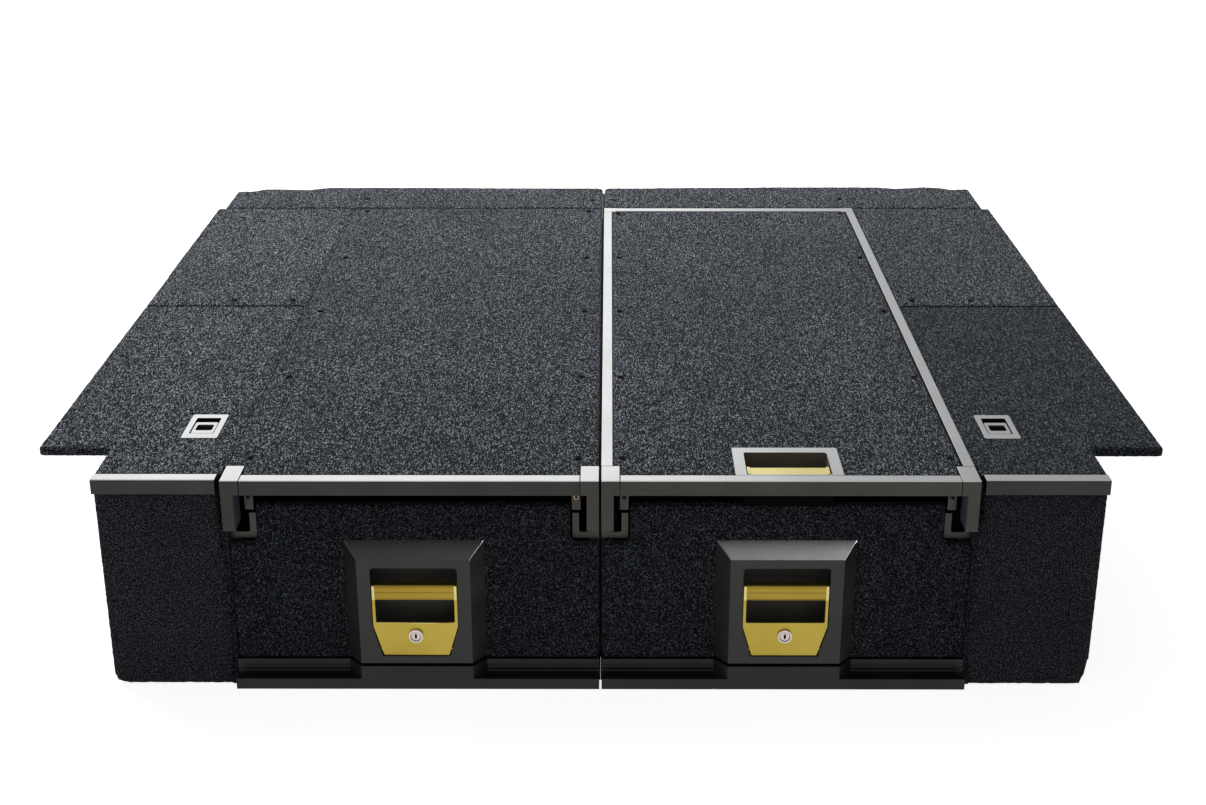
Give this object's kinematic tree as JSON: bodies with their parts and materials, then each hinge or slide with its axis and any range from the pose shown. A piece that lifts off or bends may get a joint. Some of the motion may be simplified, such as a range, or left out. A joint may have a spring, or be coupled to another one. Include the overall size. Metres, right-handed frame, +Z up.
{
  "type": "tool box and drawer system",
  "caption": "Low carpeted storage unit for a utility tub: long drawers under a fixed deck and a slide-out table, with lidded side wings and rear infill strips.",
  "frame": {"origin": "on the floor, at the middle of the whole outline in width and depth", "axes": "+X to the right seen from the drawer fronts, +Y from the drawer fronts towards the rear strips, +Z up"},
  "size_m": [1.552, 1.51, 0.313],
  "materials": {
    "carpeted_board": "charcoal looped carpet with pale flecks, glued over board",
    "tray_board": "sealed dark plywood",
    "rail_metal": "black powder coat on extruded aluminium",
    "steel": "zinc plated",
    "sill_metal": "black satin extrusion with ribs",
    "dark_trim": "dark grey anodised front, bright satin top",
    "bright_trim": "satin anodised",
    "moulded_housing": "fine grained black moulding",
    "gold_anodised": "satin gold anodised",
    "nickel": "bright nickel plate"
  },
  "bodies": {
    "base": {"floor_left": "carpeted_board", "floor_right": "carpeted_board", "back_panel_left": "carpeted_board", "back_panel_right": "carpeted_board", "side_wall_left_inner": "carpeted_board", "side_wall_left_outer": "carpeted_board", "side_wall_right_inner": "carpeted_board", "side_wall_right_outer": "carpeted_board", "channel_rail_left_inner": "rail_metal", "channel_rail_left_outer": "rail_metal", "channel_rail_right_inner": "rail_metal", "channel_rail_right_outer": "rail_metal", "drawer_rail_left_inner": "steel", "drawer_rail_left_outer": "steel", "drawer_rail_right_inner": "steel", "drawer_rail_right_outer": "steel", "sill_left": "sill_metal", "sill_right": "sill_metal", "sill_block_left": "sill_metal", "sill_block_right": "sill_metal", "fixed_deck": "carpeted_board", "fixed_deck_trim": "dark_trim", "fixed_deck_cap_inner": "bright_trim", "fixed_deck_cap_outer": "bright_trim", "wing_front_left": "carpeted_board", "wing_front_right": "carpeted_board", "wing_trim_left": "dark_trim", "wing_trim_right": "dark_trim", "wing_rear_top_left": "carpeted_board", "wing_rear_top_right": "carpeted_board", "rear_infill_left": "carpeted_board", "rear_infill_right": "carpeted_board"},
    "left_drawer": {"drawer_front_left": "carpeted_board", "drawer_tray_left": "tray_board", "handle_housing_left": "moulded_housing"},
    "right_drawer": {"drawer_front_right": "carpeted_board", "drawer_tray_right": "tray_board", "handle_housing_right": "moulded_housing"},
    "left_handle": {"drawer_handle_left": "gold_anodised"},
    "right_handle": {"drawer_handle_right": "gold_anodised"},
    "left_lock": {"key_lock_left": "nickel"},
    "right_lock": {"key_lock_right": "nickel"},
    "left_bolt": {"drawer_latch_bolt_left": "steel"},
    "right_bolt": {"drawer_latch_bolt_right": "steel"},
    "table": {"table_deck": "carpeted_board", "table_edging": "bright_trim", "table_trim": "dark_trim", "table_cap_inner": "bright_trim", "table_cap_outer": "bright_trim", "table_runner_inner": "rail_metal", "table_runner_outer": "rail_metal", "table_handle_pocket": "bright_trim"},
    "table_grip": {"table_handle": "gold_anodised"},
    "table_rod": {"table_latch_rod": "steel"},
    "left_lid": {"wing_lid_left": "carpeted_board", "ring_bezel_left": "bright_trim"},
    "right_lid": {"wing_lid_right": "carpeted_board", "ring_bezel_right": "bright_trim"},
    "left_ring": {"ring_pull_left": "steel"},
    "right_ring": {"ring_pull_right": "steel"}
  },
  "joints": [
    {"name": "left_drawer_slide", "type": "slide", "parent": "base", "child": "left_drawer", "axis": [0, -1, 0], "range_m": [0, 1]},
    {"name": "right_drawer_slide", "type": "slide", "parent": "base", "child": "right_drawer", "axis": [0, -1, 0], "range_m": [0, 1]},
    {"name": "table_slide", "type": "slide", "parent": "base", "child": "table", "axis": [0, -1, 0], "range_m": [0, 1]},
    {"name": "left_handle_pull", "type": "hinge", "parent": "left_drawer", "child": "left_handle", "pos_m": [-0.25075, -0.744, 0.0575], "axis": [1, 0, 0], "range_deg": [0, 35], "stiffness_Nm_per_rad": 1},
    {"name": "right_handle_pull", "type": "hinge", "parent": "right_drawer", "child": "right_handle", "pos_m": [0.25075, -0.744, 0.0575], "axis": [1, 0, 0], "range_deg": [0, 35], "stiffness_Nm_per_rad": 1},
    {"name": "left_lock_turn", "type": "hinge", "parent": "left_handle", "child": "left_lock", "pos_m": [-0.25075, -0.7528, 0.081], "axis": [0, -1, 0], "range_deg": [0, 90]},
    {"name": "right_lock_turn", "type": "hinge", "parent": "right_handle", "child": "right_lock", "pos_m": [0.25075, -0.7528, 0.081], "axis": [0, -1, 0], "range_deg": [0, 90]},
    {"name": "left_bolt_lift", "type": "slide", "parent": "left_drawer", "child": "left_bolt", "axis": [0, 0, 1], "range_m": [0, 0.0082]},
    {"name": "right_bolt_lift", "type": "slide", "parent": "right_drawer", "child": "right_bolt", "axis": [0, 0, 1], "range_m": [0, 0.0082]},
    {"name": "table_grip_lift", "type": "hinge", "parent": "table", "child": "table_grip", "pos_m": [0.25075, -0.7245, 0.304], "axis": [1, 0, 0], "range_deg": [0, 35], "stiffness_Nm_per_rad": 0.6},
    {"name": "table_rod_draw", "type": "slide", "parent": "table", "child": "table_rod", "axis": [-1, 0, 0], "range_m": [0, 0.0079]},
    {"name": "left_lid_hinge", "type": "hinge", "parent": "base", "child": "left_lid", "pos_m": [-0.6355, -0.0322, 0.313], "axis": [-1, 0, 0], "range_deg": [0, 95]},
    {"name": "right_lid_hinge", "type": "hinge", "parent": "base", "child": "right_lid", "pos_m": [0.6355, -0.0322, 0.313], "axis": [-1, 0, 0], "range_deg": [0, 95]},
    {"name": "left_ring_lift", "type": "hinge", "parent": "left_lid", "child": "left_ring", "pos_m": [-0.558, -0.5861, 0.31], "axis": [1, 0, 0], "range_deg": [0, 90]},
    {"name": "right_ring_lift", "type": "hinge", "parent": "right_lid", "child": "right_ring", "pos_m": [0.558, -0.5861, 0.31], "axis": [1, 0, 0], "range_deg": [0, 90]}
  ],
  "couplings": [
    {"joint": "left_bolt_lift", "follows": "left_handle_pull", "m_per_rad": 0.013},
    {"joint": "right_bolt_lift", "follows": "right_handle_pull", "m_per_rad": 0.013},
    {"joint": "table_grip_lift", "follows": "table_rod_draw", "rad_per_m": 77}
  ]
}
